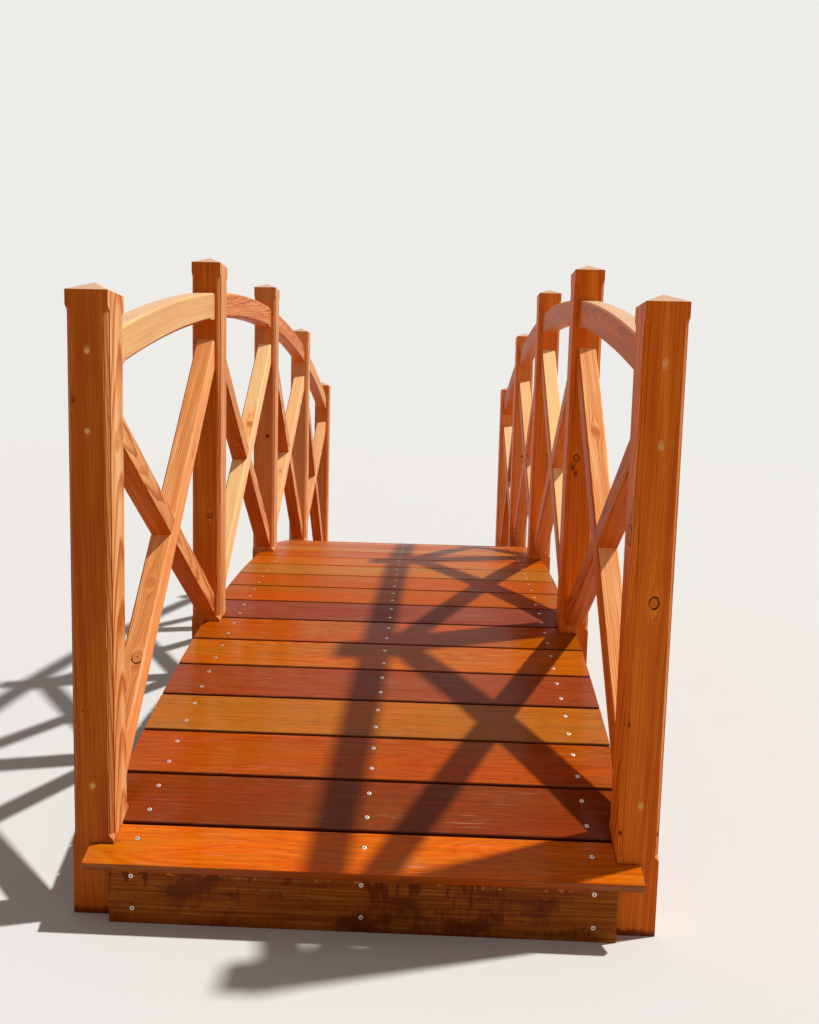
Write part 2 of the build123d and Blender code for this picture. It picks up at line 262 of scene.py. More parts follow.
def buildLarchGrain():
    tree = bpy.data.node_groups.new("larch grain", "ShaderNodeTree")
    add = partial(addNode, tree)
    knots = ("1", "2", "3", "4")
    for kind, names, parts in (
            ("NodeSocketVector", ["Place", "Pith"], ("Face", "Place")),
            ("NodeSocketFloat", ["Seed", "Wander", "Knottiness"], ("Radius", "Bark"))):
        for name in names + [f"Knot {part} {n}" for n in knots for part in parts]:
            tree.interface.new_socket(name, in_out="INPUT", socket_type=kind)
    for name in ("Tone", "Patch", "Knot", "Rim", "Flow"):
        tree.interface.new_socket(name, in_out="OUTPUT", socket_type="NodeSocketFloat")
    given = add("NodeGroupInput").outputs
    place, seed = given["Place"], given["Seed"]
    axes = add("SeparateXYZ", [place]).outputs

    # which of its four faces a point lies on, how far it is across that face, and a seed for each face
    normal = add("NewGeometry").outputs["Normal"]
    facing = add("SeparateXYZ", [normal]).outputs
    sideways = add("Math", [facing["X"]], "ABSOLUTE")
    onSide = add("Math", [sideways, 0.5], "GREATER_THAN")
    across = add("Mix", [onSide, axes["X"], axes["Y"]], data_type="FLOAT")
    tilt = add("VectorMath", [normal, (3.0, -0.5, 1.0)], "DOT_PRODUCT")
    faceSign = add("Math", [tilt], "SIGN")
    faceNumber = add("Math", [onSide, 3.3, faceSign], "MULTIPLY_ADD")
    faceSeed = add("Math", [faceNumber, 2.7, seed], "MULTIPLY_ADD")

    # chance knots, one to a cell where the strip of the face crosses its middle
    spacing = larch["knotSpacing"]
    onFace = add("CombineXYZ", [across, axes["Z"]])
    cells = add("VectorMath", [onFace, (1 / spacing, 1 / spacing, 0)], "MULTIPLY")
    shifted = add("VectorMath", [cells, faceSeed], "ADD")
    chance = add("TexVoronoi", {
        "Vector": shifted, "Scale": 1.0, "Randomness": 0.9}, voronoi_dimensions="2D")
    offCell = add("VectorMath", [shifted, chance.outputs["Position"]], "SUBTRACT")
    fromKnot = add("VectorMath", [offCell, (spacing, spacing, 0)], "MULTIPLY")
    luck = add("SeparateColor", [chance.outputs["Color"]])
    chanceSize = add("MapRange", [luck.outputs["Red"], 0.45, 1.0, 0.0, larch["knotRadius"]])
    radius = add("Math", [chanceSize, given["Knottiness"]], "MULTIPLY")

    # a knot that stands out takes the place of the chance ones within its reach
    nearest = larch["knotReach"]
    bark = 1.0
    for n in knots:
        offKnot = add("VectorMath", [onFace, given[f"Knot Place {n}"]], "SUBTRACT")
        reach = squashedLength(add, offKnot, larch["knotSquash"])
        size = given[f"Knot Radius {n}"]
        radii = add("Math", [reach, size], "DIVIDE")
        near = add("Math", [radii, nearest], "LESS_THAN")
        turn = add("VectorMath", [normal, given[f"Knot Face {n}"]], "DOT_PRODUCT")
        sameFace = add("Math", [turn, 0.7], "GREATER_THAN")
        isKnot = add("Math", [size, 0.0], "GREATER_THAN")
        onIt = add("Math", [sameFace, isKnot], "MULTIPLY")
        chosen = add("Math", [near, onIt], "MULTIPLY")
        nearest = add("Mix", [chosen, nearest, radii], data_type="FLOAT")
        fromKnot = add("Mix", [chosen, fromKnot, offKnot], data_type="VECTOR")
        radius = add("Mix", [chosen, radius, size], data_type="FLOAT")
        bark = add("Mix", [chosen, bark, given[f"Knot Bark {n}"]], data_type="FLOAT")

    # the grain spreads round a knot as water does round a pier
    reach = squashedLength(add, fromKnot, larch["knotSquash"])
    widest = add("Math", [reach, radius], "MAXIMUM")
    share = add("Math", [radius, widest], "DIVIDE")
    shareSquared = add("Math", [share, 2.0], "POWER")
    fading = add("Math", [shareSquared, 1 / larch["knotReach"] ** 2], "SUBTRACT")
    bend = add("Math", [fading, 0.0], "MAXIMUM")
    knotAcross = add("SeparateXYZ", [fromKnot]).outputs["X"]
    push = add("Math", [bend, knotAcross], "MULTIPLY")
    pushSide = add("Math", [push, onSide], "MULTIPLY")
    pushFront = add("Math", [push, pushSide], "SUBTRACT")
    pushed = add("CombineXYZ", [pushFront, pushSide])
    flowing = add("VectorMath", [place, pushed], "SUBTRACT")

    # growth rings, stronger in some years than in others
    fromPith = add("VectorMath", [flowing, given["Pith"]], "SUBTRACT")
    ringRadius = squashedLength(add, fromPith, (1, 1, 0))
    leaned = add("Math", [axes["Z"], larch["ringTaper"], ringRadius], "MULTIPLY_ADD")
    seeded = add("VectorMath", [flowing, seed], "ADD")
    wave = stretchedNoise(add, seeded, larch["waves"], 3.0)
    waved = add("Math", [wave, given["Wander"], leaned], "MULTIPLY_ADD")
    ringCount = add("Math", [waved, larch["ringWidth"]], "DIVIDE")
    ringPhase = add("Math", [ringCount], "FRACT")
    rings = setRamp(add("ValToRGB", [ringPhase]), [(0.0, 0.12), (0.45, 0.2), (0.85, 1.0), (1.0, 0.12)])
    years = add("TexNoise", {"W": ringCount, "Scale": 0.45, "Detail": 1.0}, noise_dimensions="1D")
    strength = add("MapRange", [years, 0.3, 0.7, 0.2, 0.5])
    toneRings = add("Math", [rings, strength], "MULTIPLY")

    # fibres and broad streaks, long along the grain
    fine = 1 / larch["fibreWidth"]
    fibres = stretchedNoise(add, seeded, (fine, fine, fine / 70), 3.0)
    broad = 1 / larch["streakWidth"]
    streaks = stretchedNoise(add, seeded, (broad, broad, broad / 14), 3.0)
    toneFibres = add("Math", [fibres, 0.45, toneRings], "MULTIPLY_ADD")
    tone = add("Math", [streaks, 0.5, toneFibres], "MULTIPLY_ADD")
    patch = stretchedNoise(add, seeded, larch["patches"], 2.0)

    # the knot itself: an uneven dark rim, and rings inside
    distance = squashedLength(add, fromKnot, larch["knotOval"])
    uneven = add("TexNoise", {"Vector": place, "Scale": 70.0, "Detail": 3.0})
    wobbly = add("Math", [uneven, larch["knotWobble"], distance], "MULTIPLY_ADD")
    outside = add("Math", [wobbly, radius], "SUBTRACT")
    knot = add("MapRange", [outside, 0.0, larch["knotEdge"], 1.0, 0.0], interpolation_type="SMOOTHSTEP")
    fromRim = add("Math", [outside, larch["rimPlace"]], "SUBTRACT")
    rimDistance = add("Math", [fromRim], "ABSOLUTE")
    rim = add("MapRange", [rimDistance, *larch["rimFade"], 1.0, 0.0], interpolation_type="SMOOTHSTEP")
    # the bark round a knot is thick on one side and gone on the other
    rimSide = add("TexNoise", {"Vector": place, "Scale": 28.0, "Detail": 1.0})
    rimStrength = add("MapRange", [rimSide, 0.4, 0.58, 0.3, 1.0])
    brokenRim = add("Math", [rim, rimStrength], "MULTIPLY")
    knotRings = add("Math", [wobbly, 2 * math.pi / larch["knotRings"]], "MULTIPLY")
    knotWave = add("Math", [knotRings], "SINE")
    ringsInside = add("Math", [knotWave, knot], "MULTIPLY")
    live = add("Math", [ringsInside, 0.18, brokenRim], "MULTIPLY_ADD", use_clamp=True)
    eye = add("MapRange", [wobbly, *larch["knotEye"], 0.7, 0.0])
    eyed = add("Math", [live, eye], "MAXIMUM")
    # dead knots are dark all over
    deadShare = add("MapRange", [radius, *larch["deadKnots"], 0.8, 0.0])
    dead = add("Math", [knot, deadShare], "MULTIPLY")
    darkest = add("Math", [eyed, dead], "MAXIMUM")
    shade = add("Math", [darkest, bark], "MULTIPLY")
    bigEnough = add("Math", [radius, larch["smallestKnot"]], "GREATER_THAN")
    knotHere = add("Math", [knot, bigEnough], "MULTIPLY")
    rimHere = add("Math", [shade, bigEnough], "MULTIPLY")
    flow = add("MapRange", [bend, 0.0, 0.3])
    add("NodeGroupOutput", {"Tone": tone, "Patch": patch, "Knot": knotHere, "Rim": rimHere, "Flow": flow})
    return tree


larchGrain = buildLarchGrain()
dice = random.Random(7)


def stainedLarch(name, makePlace, knottiness, litPalette="faded", topPaleShare=0.6, atEnd=False):
    # planed larch under an orange clear stain: satin, grain and knots showing through, deep orange in the
    # shade, and a paler painted-lit copy on the faces turned to the lamp, partly sun-faded stain; tops paler
    # still from rain and painted sheen
    material, add = newMaterial(name)
    side = dice.choice((-1, 1))
    pithX, pithY, wander = sawnFrom.get(
        name, (side * dice.uniform(*larch["pithSide"]), dice.uniform(*larch["pithUp"]), larch["ringWander"]))
    sockets = {
        "Place": makePlace(add), "Pith": (pithX * mm, pithY * mm, 0), "Wander": wander * mm,
        "Seed": dice.uniform(0, 40), "Knottiness": knottiness}
    for n, (face, across, along, radius, bark) in enumerate(bigKnots.get(name, ()), 1):
        sockets.update({
            f"Knot Face {n}": face, f"Knot Place {n}": (across * mm, along * mm, 0),
            f"Knot Radius {n}": radius * mm, f"Knot Bark {n}": bark})
    grain = add("Group", sockets, node_tree=larchGrain).outputs
    wood = setRamp(add("ValToRGB", [grain["Tone"]]), [
        (0.36, larch["pale"]), (0.55, larch["middle"]), (0.92, larch["dark"])])
    reddish = add("MapRange", [grain["Patch"], 0.42, 0.7, 0.0, 0.3])
    reddened = add("Mix", [reddish, wood, larch["red"]], data_type="RGBA")
    tint = dice.uniform(*larch["chanceTint"])
    shadeTint, sunTint, shadeSapwood, sunSapwood, litFadeCap = woodTones.get(
        name, (tint, tint, 0.0, 0.0, larch["litFadeCap"]))
    shadedWood = add("Mix", [shadeSapwood, reddened, larch["sapwood"]], data_type="RGBA")
    inShade = add("VectorMath", [shadedWood, shadeTint], "SCALE")

    # painted light: faces turned to the lamp take the paler copy, which also stands for sun-faded stain
    normal = add("NewGeometry").outputs["Normal"]
    sunward = add("VectorMath", [normal, sunFrom], "DOT_PRODUCT")
    litShare = add("MapRange", [sunward, 0.05, 0.46, 0.0, litFadeCap], interpolation_type="SMOOTHSTEP")
    litFadedWood = setRamp(add("ValToRGB", [grain["Tone"]]), [
        (0.4, larch[litPalette + "Pale"]), (0.54, larch[litPalette + "Middle"]),
        (0.8, larch[litPalette + "Dark"])])
    bare = add("Math", [1.0, grain["Flow"]], "SUBTRACT")
    litSapwoodShare = add("Math", [bare, sunSapwood], "MULTIPLY")
    litWood = add("Mix", [litSapwoodShare, litFadedWood, larch["sapwood"]], data_type="RGBA")
    inSun = add("VectorMath", [litWood, sunTint], "SCALE")
    faded = add("Mix", [litShare, inShade, inSun], data_type="RGBA")
    # tops paler: partly rain weathering, partly painted sheen
    up = add("SeparateXYZ", [normal]).outputs["Z"]
    rainAndSheen = add("MapRange", [up, 0.7, 0.95, 0.0, topPaleShare], interpolation_type="SMOOTHSTEP")
    paleTopped = add("Mix", [rainAndSheen, faded, larch["rainAndSheenTop"]], data_type="RGBA")
    knotShare = add("Math", [grain["Knot"], 0.4], "MULTIPLY")
    heart = add("Mix", [knotShare, paleTopped, larch["knotHeart"]], data_type="RGBA")
    finish = add("Mix", [grain["Rim"], heart, larch["knotRim"]], data_type="RGBA")
    if atEnd:
        finish = markEndPost(add, finish)
    sheen = add("MapRange", [grain["Tone"], 0.3, 1.0, 0.5, 0.4])
    dull = add("Math", [grain["Rim"], 0.45, sheen], "MULTIPLY_ADD", use_clamp=True)
    eased = add("Bevel", {"Radius": larch["easedEdge"]}, samples=4)
    bump = add("Bump", {
        "Height": grain["Tone"], "Strength": 0.3, "Distance": larch["grainDepth"], "Normal": eased})
    shader = add("BsdfPrincipled", {
        "Base Color": finish, "Roughness": dull, "Normal": bump, "IOR": 1.45, "Specular IOR Level": 0.12})
    add("OutputMaterial", {"Surface": shader})
    return material


endPost = {
    "plugHeights": (1232 * mm, 1064 * mm, 294 * mm),
    "damp": "#6A2A0E",
    "dampRagged": 22 * mm,
    "dampEdge": (-4 * mm, 8 * mm),        # the heights between which it fades, before its edge is ragged
    "filler": "#FFAE66",
    "fillerRagged": 9 * mm,
    "fillerEdge": (7 * mm, 13 * mm),      # the distances from a plug between which it thins out
    "fillerShare": (0.3, 0.75),   # on the left and right posts
}


def markEndPost(add, wood):
    # the foot draws up water, which leaves a ragged dark edge; filler is wiped along the grain over the
    # plugs, thick on the right posts and thin on the left ones
    place = add("TexCoord").outputs["Object"]
    axes = add("SeparateXYZ", [place]).outputs
    ragged = add("TexNoise", {"Vector": place, "Scale": 60.0, "Detail": 3.0})
    edge = add("Math", [ragged, -endPost["dampRagged"], axes["Z"]], "MULTIPLY_ADD")
    damp = add("MapRange", [edge, *endPost["dampEdge"], 0.85, 0.0], interpolation_type="SMOOTHSTEP")
    marked = add("Mix", [damp, wood, endPost["damp"]], data_type="RGBA")
    sideX = add("Math", [axes["X"]], "ABSOLUTE")
    offRow = add("Math", [sideX, bridge["rowOffset"]], "SUBTRACT")
    onRight = add("Math", [axes["X"], 0.0], "GREATER_THAN")
    thickness = add("MapRange", [onRight, 0.0, 1.0, *endPost["fillerShare"]])
    for height in endPost["plugHeights"]:
        offPlug = add("Math", [axes["Z"], height], "SUBTRACT")
        reach = squashedLength(add, add("CombineXYZ", [offRow, offPlug]), (1, 0.5, 0))
        rough = add("Math", [ragged, endPost["fillerRagged"], reach], "MULTIPLY_ADD")
        smear = add("MapRange", [rough, *endPost["fillerEdge"], 1.0, 0.0], interpolation_type="SMOOTHSTEP")
        wiped = add("Math", [smear, thickness], "MULTIPLY")
        marked = add("Mix", [wiped, marked, endPost["filler"]], data_type="RGBA")
    return marked


def dress(node, material):
    for slot in nodes[node].material_slots:
        slot.material = material


def boxCentre(node):
    low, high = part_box(node)
    return (low + high) / 2


def slopeOf(node):
    # the long axis of a straight piece in the YZ plane, from the spread of its corners
    points = [v.co for v in nodes[node].data.vertices]
    centre = sum(points, Vector()) / len(points)
    yy = sum((p.y - centre.y) ** 2 for p in points)
    zz = sum((p.z - centre.z) ** 2 for p in points)
    yz = sum((p.y - centre.y) * (p.z - centre.z) for p in points)
    return 0.5 * math.atan2(2 * yz, yy - zz)


def bowed(radius, centreHeight, x):
    def place(add):
        return add("VectorMath", [archPlace(add, radius, centreHeight), (x, 0, 0)], "SUBTRACT")
    return place


def straight(node, slope):
    return lambda add: straightPlace(add, boxCentre(node), slope)


def dressSoftwood():
    lastPost = bridge["bays"] + 1
    for side in ("left", "right"):
        for number in range(1, lastPost + 1):
            node = f"{side}_post_{number}"
            knottiness = 0.0 if node in bigKnots else 0.7
            atEnd = number in (1, lastPost)
            dress(node, stainedLarch(
                node, straight(node, math.pi / 2), knottiness, topPaleShare=0.9, atEnd=atEnd))
        for bay in range(1, bridge["bays"] + 1):
            node = f"{side}_handrail_{bay}"
            place = bowed(bridge["railRadius"], railCentre, boxCentre(node).x)
            dress(node, stainedLarch(node, place, 0.0))
            for brace, litPalette in (("rising", "warm"), ("falling", "faded")):
                node = f"{side}_{brace}_brace_{bay}"
                knottiness = 0.0 if node in bigKnots else 0.6
                place = straight(node, slopeOf(node))
                dress(node, stainedLarch(node, place, knottiness, litPalette))
    for node in ("left_stringer", "middle_stringer", "right_stringer"):
        place = bowed(bridge["deckRadius"], deckCentre, boxCentre(node).x)
        dress(node, stainedLarch(node, place, 1.0))


dressSoftwood()
print("softwood: posts, handrails, braces and stringers")


# Tropical hardwood decking, planed and oiled: close straight grain along the board, fine dark pores,
# a soft gloss, and each board from another log
hardwood = {
    "plum": "#8A3A0C",
    "rust": "#B04E08",
    "honey": "#B4661C",
    "roseWithSheen": "#9A4620",
    "amber": "#BC5E0C",
    "orange": "#B05004",
    "mauveWithSheen": "#8E422C",
    "nosing": "#DE6804",
    "endGrain": "#C0782F",
    "dried": "#D8B090",
    # a ring of painted shadow and dirt round each screw head
    "screwHole": "#2E1408",
    "streakWidth": 7 * mm,
    "figureWidth": 70 * mm,       # one arch of the flat-sawn figure
    "poreWidth": 1.6 * mm,        # real pores are 0.2 mm wide, drawn wider so that they show
    "poreLength": 40 * mm,
    "clouds": (2.4, 12, 12),      # in a metre, along and across the grain
    "scratches": (7, 420, 420),
    "patches": (5, 16, 16),
    "boardJump": 7.31,            # each board's grain starts somewhere else
    "figureLines": 90.0,
    "grainDepth": 0.4 * mm,
    # painted shade on the long edges, down in the gaps
    "paintedGapShade": 0.5,
    "oiled": (0.1, 0.22, 0.14),   # least and greatest roughness, and how much it mirrors
    "trodden": (0.3, 0.42, 0.06),
    "easedEdge": 2 * mm,
    "scuffStart": 1200 * mm,      # from here to the ends, feet have scratched the oil
}
# boards of each bay from the near end on
# the mauve and rose boards' purplish tone is partly a painted reflection of the sky
boardTones = {
    "deck_boards_1": ("plum", "rust", "honey", "roseWithSheen", "amber", "orange"),
    "deck_boards_2": ("mauveWithSheen", "orange", "orange", "honey", "amber", "orange"),
    "deck_boards_3": ("honey", "rust", "amber", "orange", "roseWithSheen", "amber"),
    "deck_boards_4": ("orange", "plum", "amber", "honey", "rust", "roseWithSheen"),
}
screws = {
    "lines": 3,
    "lineSpacing": 500 * mm,
    "pairSpacing": 72 * mm,
    "nosingSetBack": 38 * mm,
    "holeShadeFade": (4.8 * mm, 6.2 * mm),     # distances from a screw between which its painted shade and dirt fade
}


def oiledHardwood(name, tones, firstBoard=0, screwArc=None, trodden=False):
    material, add = newMaterial(name)
    x, above, along = add("SeparateXYZ", [archPlace(add, bridge["deckRadius"], deckCentre)]).outputs
    boardCount = add("Math", [along, bridge["boardPitch"]], "DIVIDE")
    board = add("Math", [boardCount], "FLOOR")
    local = add("Math", [board, firstBoard - 0.5], "SUBTRACT")
    pick = add("Math", [local, len(tones)], "DIVIDE")
    base = setRamp(
        add("ValToRGB", [pick]), [(i / len(tones), hardwood[tone]) for i, tone in enumerate(tones)])
    base.color_ramp.interpolation = "CONSTANT"

    boardShift = add("Math", [board, hardwood["boardJump"]], "MULTIPLY")
    xShifted = add("Math", [x, boardShift], "ADD")
    grainPlace = add("CombineXYZ", [xShifted, along, above])
    streakScale = 1 / hardwood["streakWidth"]
    streaks = stretchedNoise(
        add, grainPlace, (streakScale / 55, streakScale, streakScale), 4.0, Roughness=0.6, Distortion=0.25)
    clouds = stretchedNoise(add, grainPlace, hardwood["clouds"], 2.0)
    poreScale = 1 / hardwood["poreWidth"]
    poreNoise = stretchedNoise(add, grainPlace, (1 / hardwood["poreLength"], poreScale, poreScale), 1.0)
    pores = add("MapRange", [poreNoise, 0.58, 0.72])

    shade = add("MapRange", [streaks, 0.25, 0.75, 0.78, 1.22])
    cloudShade = add("MapRange", [clouds, 0.3, 0.7, 0.78, 1.2])
    light = add("Math", [shade, cloudShade], "MULTIPLY")
    poreShade = add("Math", [pores, -0.4, 1.0], "MULTIPLY_ADD")
    allShade = add("Math", [light, poreShade], "MULTIPLY")
    grained = add("VectorMath", [base, allShade], "SCALE")

    # arches of flat-sawn figure, plain on some boards and hardly there on others; where it is strong the
    # wood is deeper in colour
    figureScale = 1 / hardwood["figureWidth"]
    field = stretchedNoise(add, grainPlace, (figureScale / 9, figureScale, figureScale), 1.0)
    contours = add("Math", [field, hardwood["figureLines"]], "MULTIPLY")
    arches = add("Math", [contours], "SINE")
    boardLuck = add("TexWhiteNoise", {"W": board}, noise_dimensions="1D")
    archShare = add("Math", [boardLuck, arches], "MULTIPLY")
    cloudDepth = add("MapRange", [clouds, 0.3, 0.7, 0.88, 1.16])
    depth = add("Math", [archShare, 0.09, cloudDepth], "MULTIPLY_ADD")
    deepened = add("Gamma", {"Color": grained, "Gamma": depth})

    # pale scratches and dried water marks along the grain, in patches
    scratchNoise = stretchedNoise(add, grainPlace, hardwood["scratches"], 2.0)
    patchNoise = stretchedNoise(add, grainPlace, hardwood["patches"], 3.0)
    scratches = add("MapRange", [scratchNoise, 0.6, 0.75])
    patches = add("MapRange", [patchNoise, 0.48, 0.66, 0.0, 0.75])
    alongHalf = add("Math", [along], "ABSOLUTE")
    scuffed = add("MapRange", [alongHalf, hardwood["scuffStart"], bridge["nosingStart"], 0.35, 1.0])
    scratchPatches = add("Math", [scratches, patches], "MULTIPLY")
    marks = add("Math", [scratchPatches, scuffed], "MULTIPLY")
    marked = add("Mix", [marks, deepened, hardwood["dried"]], data_type="RGBA")

    # sawn ends are paler
    facing = add("SeparateXYZ", [add("NewGeometry").outputs["Normal"]]).outputs
    endwise = add("Math", [facing["X"]], "ABSOLUTE")
    sawn = add("MapRange", [endwise, 0.6, 0.9, 0.0, 0.7])
    ended = add("Mix", [sawn, marked, hardwood["endGrain"]], data_type="RGBA")

    # painted shade on the long edges of boards and nosings, as down in the gaps, which makes the gaps read
    # as dark lines
    level = add("Math", [facing["Z"]], "ABSOLUTE")
    steep = add("Math", [level, endwise], "MAXIMUM")
    paintedGapShade = add("MapRange", [steep, 0.5, 0.75, hardwood["paintedGapShade"], 1.0])
    gapShaded = add("VectorMath", [ended, paintedGapShade], "SCALE")

    # a dark ring of shadow and dirt round each screw head
    fromLine = add("Math", [x, screws["lineSpacing"] / 2, -screws["lineSpacing"] / 2], "WRAP")
    inBoard = add("Math", [boardCount], "FRACT")
    offCentre = add("Math", [inBoard, 0.5], "SUBTRACT")
    offCentreReal = add("Math", [offCentre, bridge["boardPitch"]], "MULTIPLY")
    mirrored = add("Math", [offCentreReal], "ABSOLUTE")
    fromPair = add("Math", [mirrored, screws["pairSpacing"] / 2], "SUBTRACT")
    if screwArc is not None:
        fromPair = add("Math", [alongHalf, screwArc], "SUBTRACT")
    hole = add("CombineXYZ", [fromLine, fromPair])
    holeDistance = add("VectorMath", [hole], "LENGTH")
    holeShadeAndDirt = add("MapRange", [holeDistance, *screws["holeShadeFade"], 0.85, 0.0], interpolation_type="SMOOTHSTEP")
    onTop = add("Math", [facing["Z"], 0.8], "GREATER_THAN")
    holeShadeAndDirtOnTop = add("Math", [holeShadeAndDirt, onTop], "MULTIPLY")
    finish = add("Mix", [holeShadeAndDirtOnTop, gapShaded, hardwood["screwHole"]], data_type="RGBA")

    smoothest, roughest, mirroring = hardwood["trodden" if trodden else "oiled"]
    gloss = add("MapRange", [clouds, 0.3, 0.7, smoothest, roughest])
    eased = add("Bevel", {"Radius": hardwood["easedEdge"]}, samples=4)
    bump = add("Bump", {
        "Height": allShade, "Strength": 0.15, "Distance": hardwood["grainDepth"], "Normal": eased})
    shader = add("BsdfPrincipled", {
        "Base Color": finish, "Roughness": gloss, "Normal": bump, "IOR": 1.5,
        "Specular IOR Level": mirroring})
    add("OutputMaterial", {"Surface": shader})
    return material


boardsInHalf = bridge["boardsPerBay"] * bridge["bays"] // 2
for bay in range(bridge["bays"]):
    node = f"deck_boards_{bay + 1}"
    dress(node, oiledHardwood(
        node, boardTones[node], bay * bridge["boardsPerBay"] - boardsInHalf, trodden=bay in (1, 2)))
nosingArc = bridge["nosingStart"] + screws["nosingSetBack"]
for node in ("near_nosing", "far_nosing"):
    dress(node, oiledHardwood(node, ("nosing",), screwArc=nosingArc))
print("deck boards and nosings")


# Fascia of unoiled hardwood, sawn and left rough: dull brown, with red-brown wet blotches, drips from the
# nosing above, dark specks in the pores and pale crumbs of wood along its torn top edge
fascia = {
    "dry": "#B46A22",
    "base": "#96480A",
    "shaded": "#6C2E06",
    "wet": "#5E1E04",
    "speck": "#34120A",
    "crumb": "#E0803A",
    "streakWidth": 6 * mm,
    "blotchWidth": 120 * mm,
    "wetEdge": 40 * mm,
    "dripWidth": 16 * mm,
    "dripLength": 90 * mm,
    "speckLength": 9 * mm,
    "crumbSize": 12 * mm,
    "crumbDepth": 46 * mm,        # below the top edge, of which the nosing hides the first part
    "ragged": (110, 40, 22),      # how often an edge frays in a metre
    "dripSway": 26 * mm,
    "dripFade": 20 * mm,
    "grainDepth": 0.8 * mm,
}


def weatheredHardwood(name):
    material, add = newMaterial(name)
    low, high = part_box(name)
    place = add("TexCoord").outputs["Object"]
    axes = add("SeparateXYZ", [place]).outputs
    fromTop = add("Math", [high.z, axes["Z"]], "SUBTRACT")
    fromFoot = add("Math", [axes["Z"], low.z], "SUBTRACT")
    scale = 1 / fascia["streakWidth"]
    grain = stretchedNoise(add, place, (scale / 40, scale, scale), 5.0)
    wood = setRamp(add("ValToRGB", [grain]), [
        (0.3, fascia["dry"]), (0.52, fascia["base"]), (0.78, fascia["shaded"])])

    # wet blotches with edges drawn out downwards, and more of them towards the foot
    ragged = stretchedNoise(add, place, fascia["ragged"], 3.0)
    blotchPlace = add("VectorMath", [place, (1, 1, 1.8)], "MULTIPLY")
    blotches = add("TexNoise", {
        "Vector": blotchPlace, "Scale": 1 / fascia["blotchWidth"], "Detail": 4.0, "Roughness": 0.6})
    footWet = add("MapRange", [fromFoot, 0.0, fascia["wetEdge"], 0.14, 0.0])
    blotchEdge = add("Math", [ragged, 0.22, blotches], "MULTIPLY_ADD")
    wetness = add("Math", [blotchEdge, footWet], "ADD")
    wet = add("MapRange", [wetness, 0.62, 0.76, 0.0, 0.8])

    # drips from the top, swaying, each of its own length and in groups
    dripScale = 1 / fascia["dripWidth"]
    swayNoise = add("TexNoise", {"Vector": place, "Scale": 24.0, "Detail": 2.0})
    sway = add("Math", [swayNoise, fascia["dripSway"], axes["X"]], "MULTIPLY_ADD")
    dripPlace = add("CombineXYZ", [sway, axes["Z"]])
    dripStretched = add("VectorMath", [dripPlace, (dripScale, dripScale / 4, 0)], "MULTIPLY")
    drips = add("TexNoise", {"Vector": dripStretched, "Scale": 1.0, "Detail": 1.0}, noise_dimensions="2D")
    dripHere = add("MapRange", [drips, 0.52, 0.62])
    dripRun = add("TexNoise", {"W": axes["X"], "Scale": dripScale / 9, "Detail": 1.0}, noise_dimensions="1D")
    dripEnd = add("MapRange", [dripRun, 0.44, 0.62, 0.0, fascia["dripLength"]])
    beforeEnd = add("Math", [dripEnd, fromTop], "SUBTRACT")
    dripping = add("MapRange", [beforeEnd, 0.0, fascia["dripFade"], 0.0, 0.75])
    drip = add("Math", [dripHere, dripping], "MULTIPLY")
    darker = add("Math", [wet, drip], "MAXIMUM")
    stained = add("Mix", [darker, wood, fascia["wet"]], data_type="RGBA")

    speckScale = 1 / fascia["speckLength"]
    speckNoise = stretchedNoise(add, place, (speckScale, speckScale * 3, speckScale * 3), 2.0)
    specks = add("MapRange", [speckNoise, 0.6, 0.7, 0.0, 0.75])
    specked = add("Mix", [specks, stained, fascia["speck"]], data_type="RGBA")

    # crumbs of pale wood left below the nosing, thinning out downwards
    crumbScale = 1 / fascia["crumbSize"]
    crumbNoise = stretchedNoise(add, place, (crumbScale, crumbScale, 1.6 / fascia["crumbSize"]), 3.0)
    crumbShare = add("MapRange", [fromTop, 0.0, fascia["crumbDepth"], 0.3, -0.2])
    crumbs = add("Math", [crumbNoise, crumbShare], "ADD")
    inCrumb = add("MapRange", [crumbs, 0.6, 0.66, 0.0, 0.85])
    notDrip = add("Math", [1.0, drip], "SUBTRACT")
    crumbHere = add("Math", [inCrumb, notDrip], "MULTIPLY")
    torn = add("Mix", [crumbHere, specked, fascia["crumb"]], data_type="RGBA")

    gloss = add("MapRange", [wet, 0.0, 1.0, 0.66, 0.4])
    relief = add("Math", [specks, -0.6, grain], "MULTIPLY_ADD")
    bump = add("Bump", {"Height": relief, "Strength": 0.5, "Distance": fascia["grainDepth"]})
    shader = add("BsdfPrincipled", {
        "Base Color": torn, "Roughness": gloss, "Normal": bump, "IOR": 1.5, "Specular IOR Level": 0.1})
    add("OutputMaterial", {"Surface": shader})
    return material


for node in ("near_fascia", "far_fascia"):
    dress(node, weatheredHardwood(node))
print("fascias")


# stainless countersunk screws in the boards and fascias, and dowel plugs over the screws that hold
# the rails and braces to the end posts
fixings = {
    "headRadius": 5 * mm,
    "recessRadius": 2.2 * mm,
    "proud": 0.5 * mm,
    "sink": 1.2 * mm,
    "plugRadius": 6 * mm,
    "plugProud": 0.5 * mm,
    "wander": 1.5 * mm,           # no two are driven quite in line
    "spin": 6.28,                 # radians, a full turn at most
    "screwSides": 12,
    "plugSides": 16,
    "fasciaFront": 1854 * mm,
    "fasciaHeights": (107 * mm, 33 * mm, 0.0),
    "postFront": 1825 * mm,
    "steel": "#EDEAE4",
    "smudge": "#B8B0A6",
    # painted shade in the screws' drive recess
    "recess": "#2B2320",
    "plug": "#F2AC62",
    "plugSpeck": "#E29E54",
    "plugRing": "#DC9850",
}


